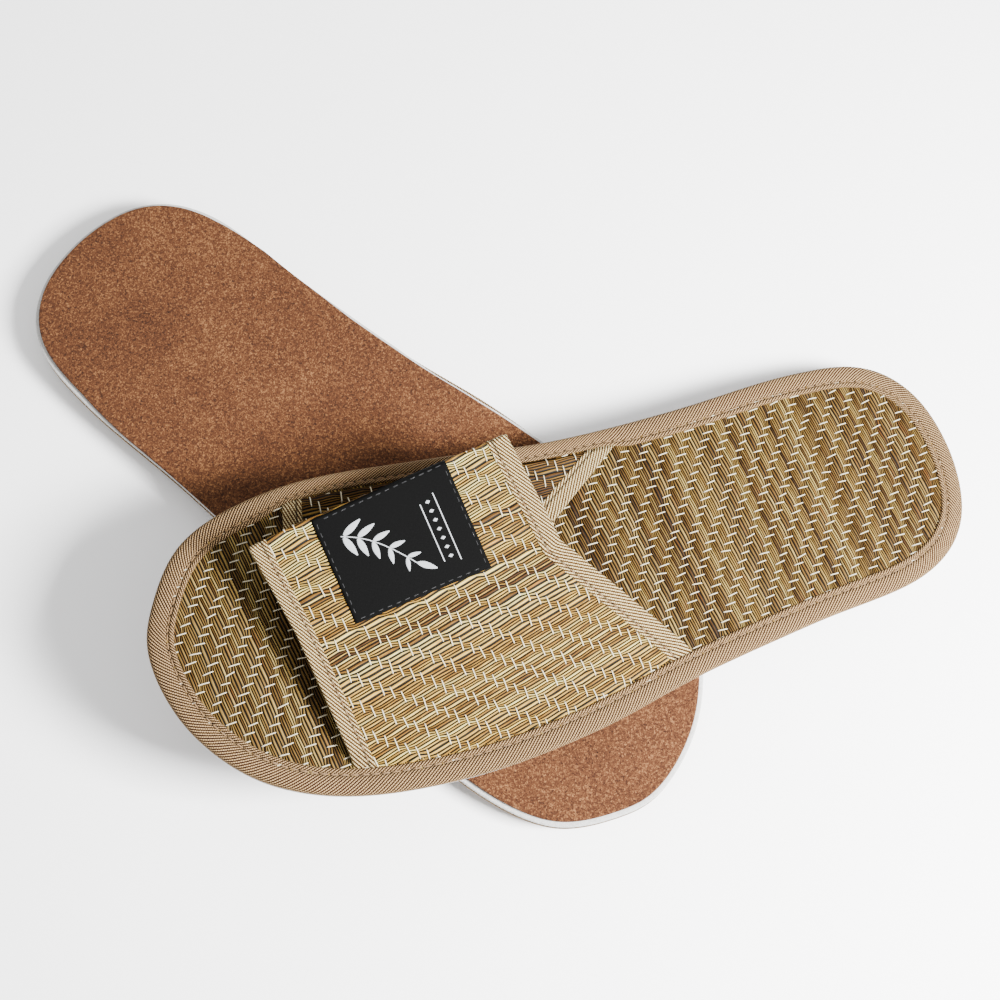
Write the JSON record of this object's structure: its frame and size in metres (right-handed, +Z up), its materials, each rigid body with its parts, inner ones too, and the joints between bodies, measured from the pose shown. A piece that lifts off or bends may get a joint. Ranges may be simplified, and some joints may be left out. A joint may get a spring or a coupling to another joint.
{
  "type": "spa slippers",
  "caption": "Pair of open-toe woven rush spa slippers with bound edges, cork soles and folding woven bands, one sole up under the other",
  "frame": {"origin": "centre of the pair's footprint, on the surface the pair lies on", "axes": "+Z up, +X along the pair's longest side, towards the left slipper's heel"},
  "size_m": [0.3334, 0.2098, 0.0618],
  "materials": {
    "cork": "fine agglomerated cork, matte",
    "foam": "white EVA foam, matte",
    "board": "pressed fibreboard, matte",
    "pad": "soft foam padding",
    "rush_footbed": "woven rush with a white cotton warp, low sheen",
    "rush_band": "woven rush with a white cotton warp, low sheen",
    "edge_twill": "ribbed twill tape, low sheen",
    "band_twill": "ribbed twill tape, low sheen",
    "thread": "cotton sewing thread",
    "lining": "plain lining cloth, matte",
    "label": "woven satin label, low sheen",
    "label_thread": "black sewing thread"
  },
  "bodies": {
    "right_sole": {"right_cork_outsole": "cork", "right_foam_midsole": "foam", "right_insole_board": "board", "right_insole_pad": "pad", "right_footbed_mat": "rush_footbed", "right_edge_binding": "edge_twill", "right_edge_stitching": "thread"},
    "right_band": {"right_band_panel": "rush_band", "right_band_lining": "lining", "right_band_front_binding": "band_twill", "right_band_rear_binding": "band_twill", "right_label": "label", "right_label_stitching": "label_thread"},
    "right_mid_flap": {"right_mid_flap": "rush_band", "right_mid_flap_lining": "lining", "right_mid_flap_front_binding": "band_twill", "right_mid_flap_rear_binding": "band_twill"},
    "right_far_flap": {"right_far_flap": "rush_band", "right_far_flap_lining": "lining", "right_far_flap_front_binding": "band_twill", "right_far_flap_rear_binding": "band_twill"},
    "left_sole": {"left_cork_outsole": "cork", "left_foam_midsole": "foam", "left_insole_board": "board", "left_insole_pad": "pad", "left_footbed_mat": "rush_footbed", "left_edge_binding": "edge_twill", "left_edge_stitching": "thread"},
    "left_band": {"left_band_panel": "rush_band", "left_band_lining": "lining", "left_band_front_binding": "band_twill", "left_band_rear_binding": "band_twill", "left_label": "label", "left_label_stitching": "label_thread"},
    "left_mid_flap": {"left_mid_flap": "rush_band", "left_mid_flap_lining": "lining", "left_mid_flap_front_binding": "band_twill", "left_mid_flap_rear_binding": "band_twill"},
    "left_far_flap": {"left_far_flap": "rush_band", "left_far_flap_lining": "lining", "left_far_flap_front_binding": "band_twill", "left_far_flap_rear_binding": "band_twill"}
  },
  "joints": [
    {"name": "left_lift", "type": "slide", "parent": "right_sole", "child": "left_sole", "axis": [0, 0, 1], "range_m": [0, 0.12]},
    {"name": "left_band_open", "type": "hinge", "parent": "left_sole", "child": "left_band", "pos_m": [-0.02447, -0.0977, 0.03658], "axis": [0.8871, 0.4431, -0.1294], "range_deg": [0, 15]},
    {"name": "left_crest_fold", "type": "hinge", "parent": "left_band", "child": "left_mid_flap", "pos_m": [-0.06878, -0.0336, 0.06051], "axis": [0.8445, 0.5259, -0.1011], "range_deg": [0, 12.5]},
    {"name": "left_far_fold", "type": "hinge", "parent": "left_sole", "child": "left_far_flap", "pos_m": [-0.06481, -0.01746, 0.04247], "axis": [0.939, 0.3155, -0.137], "range_deg": [-33.5, 0]},
    {"name": "right_band_open", "type": "hinge", "parent": "right_sole", "child": "right_band", "pos_m": [0.05552, -0.01072, 0.0038], "axis": [0.8251, -0.565, 0], "range_deg": [0, 22]},
    {"name": "right_crest_fold", "type": "hinge", "parent": "right_band", "child": "right_mid_flap", "pos_m": [0.02171, -0.08489, 0.0014], "axis": [0.8761, -0.4821, 0], "range_deg": [0, 26.9]},
    {"name": "right_far_fold", "type": "hinge", "parent": "right_sole", "child": "right_far_flap", "pos_m": [0.0055, -0.08554, 0.0038], "axis": [0.7395, -0.6731, 0], "range_deg": [-26.9, 0]}
  ],
  "couplings": [
    {"joint": "left_crest_fold", "follows": "left_band_open", "ratio": 0.8},
    {"joint": "right_crest_fold", "follows": "right_band_open", "ratio": 1.2},
    {"joint": "left_far_fold", "follows": "left_band_open", "ratio": -2.2},
    {"joint": "right_far_fold", "follows": "right_band_open", "ratio": -1.2}
  ]
}
